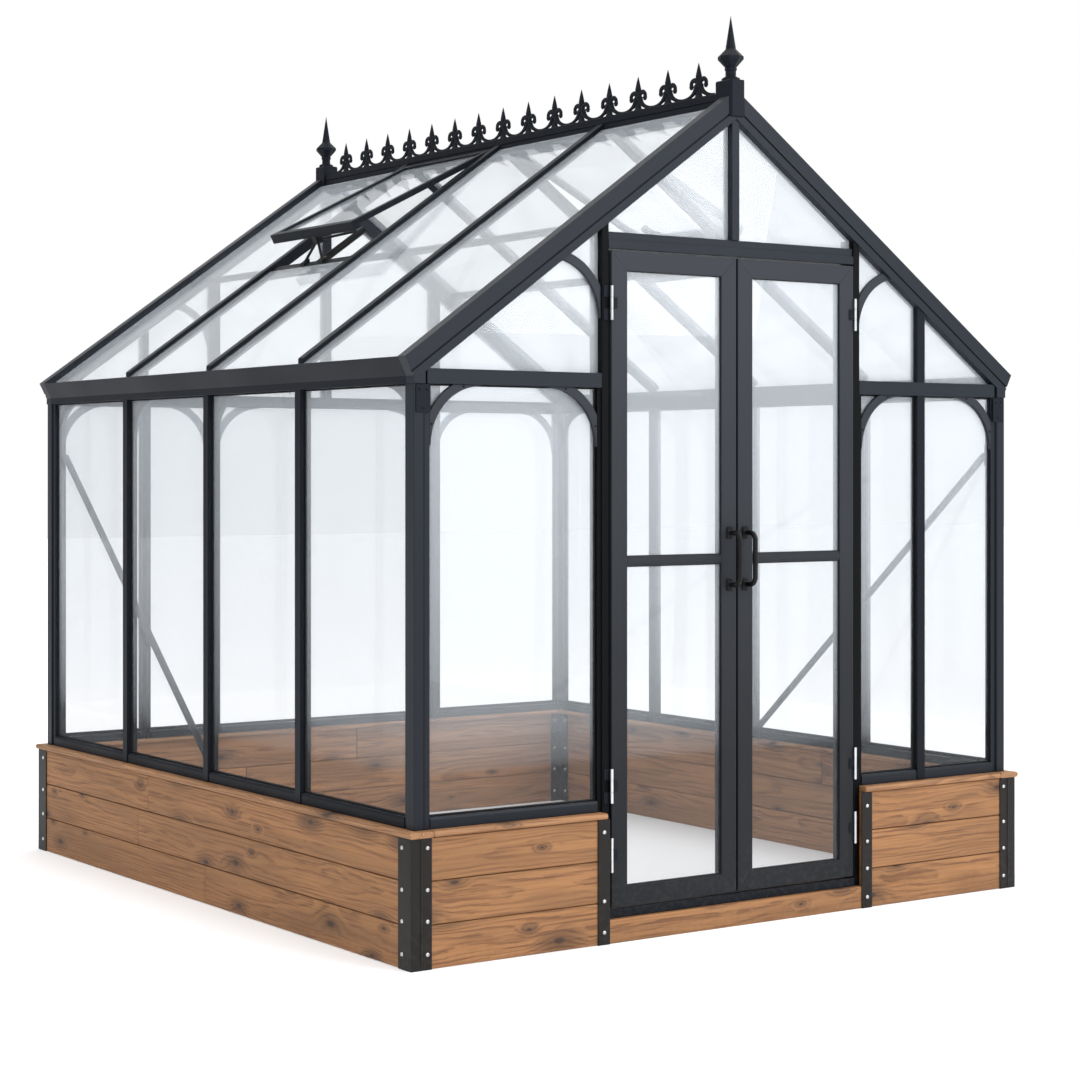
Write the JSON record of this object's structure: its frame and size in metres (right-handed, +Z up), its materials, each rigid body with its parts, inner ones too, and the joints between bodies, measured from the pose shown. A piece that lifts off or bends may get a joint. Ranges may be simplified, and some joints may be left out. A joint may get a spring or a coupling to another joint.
{
  "type": "glass greenhouse",
  "caption": "Free-standing glass greenhouse on a low timber base, with charcoal metal frame, hinged double doors, arched brackets, roof vents and a crested ridge.",
  "frame": {"origin": "centre of the base outline at ground level", "axes": "+X to the right along the door side, +Y from the doors to the back, +Z up"},
  "size_m": [2.464, 2.746, 2.885],
  "materials": {
    "timber": "stained softwood, satin",
    "frame": "charcoal powder coat, satin",
    "base_steel": "dark brown-black coat, satin",
    "hinge": "satin",
    "handle": "black, semi-gloss",
    "glass": "clear float glass"
  },
  "bodies": {
    "greenhouse": {"base_left_wall": "timber", "base_right_wall": "timber", "base_back_wall": "timber", "base_front_left": "timber", "base_front_right": "timber", "threshold_board": "timber", "side_caps": "timber", "end_caps": "timber", "corner_angles": "base_steel", "inner_angles": "base_steel", "door_straps": "base_steel", "corner_posts": "frame", "side_mullions": "frame", "side_sill_rails": "frame", "gable_sill_rails": "frame", "door_posts": "frame", "back_posts": "frame", "gable_mullions": "frame", "eave_ties": "frame", "door_header": "frame", "door_sill": "frame", "king_posts": "frame", "left_rafters": "frame", "right_rafters": "frame", "eave_gutters": "frame", "ridge_beam": "frame", "ridge_blocks": "frame", "finials": "frame", "ridge_cresting": "frame", "roof_bars": "frame", "purlins": "frame", "gable_brackets": "frame", "side_brackets": "frame", "braces": "frame", "side_glass": "glass", "front_glass": "glass", "back_glass": "glass", "roof_glass": "glass", "vent_frames": "frame", "vent_glass": "glass", "vent_openers": "handle", "hinge_plates": "hinge"},
    "left_door": {"left_door_frame": "frame", "left_door_glass": "glass", "left_door_handle": "handle", "left_door_hinges": "hinge"},
    "right_door": {"right_door_frame": "frame", "right_door_glass": "glass", "right_door_handle": "handle", "right_door_hinges": "hinge"}
  },
  "joints": [
    {"name": "left_door_hinge", "type": "hinge", "parent": "greenhouse", "child": "left_door", "pos_m": [-0.497, -1.334, 1.1], "axis": [0, 0, -1], "range_deg": [0, 100]},
    {"name": "right_door_hinge", "type": "hinge", "parent": "greenhouse", "child": "right_door", "pos_m": [0.497, -1.334, 1.1], "axis": [0, 0, 1], "range_deg": [0, 100]}
  ]
}
